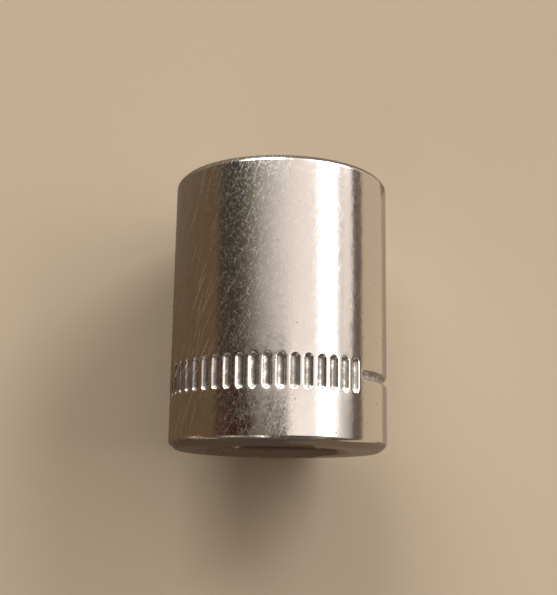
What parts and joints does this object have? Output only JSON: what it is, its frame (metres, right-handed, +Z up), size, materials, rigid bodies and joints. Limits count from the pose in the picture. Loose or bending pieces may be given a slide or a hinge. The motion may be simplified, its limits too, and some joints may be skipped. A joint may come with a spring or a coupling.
{
  "type": "drive socket",
  "caption": "Round chrome-plated hand socket with a square drive hole at one end and a twelve-point nut recess at the other.",
  "frame": {"origin": "on the socket's axis, halfway between its two end faces", "axes": "+Y along the axis from the square drive end to the nut end, +Z up as the socket lies on its side with the stamped slots on top"},
  "size_m": [0.0222, 0.028, 0.0222],
  "materials": {
    "chrome_plate": "bright chrome plate with fine handling scratches and grime in the stamped marks"
  },
  "bodies": {
    "root": {"socket_body": "chrome_plate"}
  },
  "joints": []
}
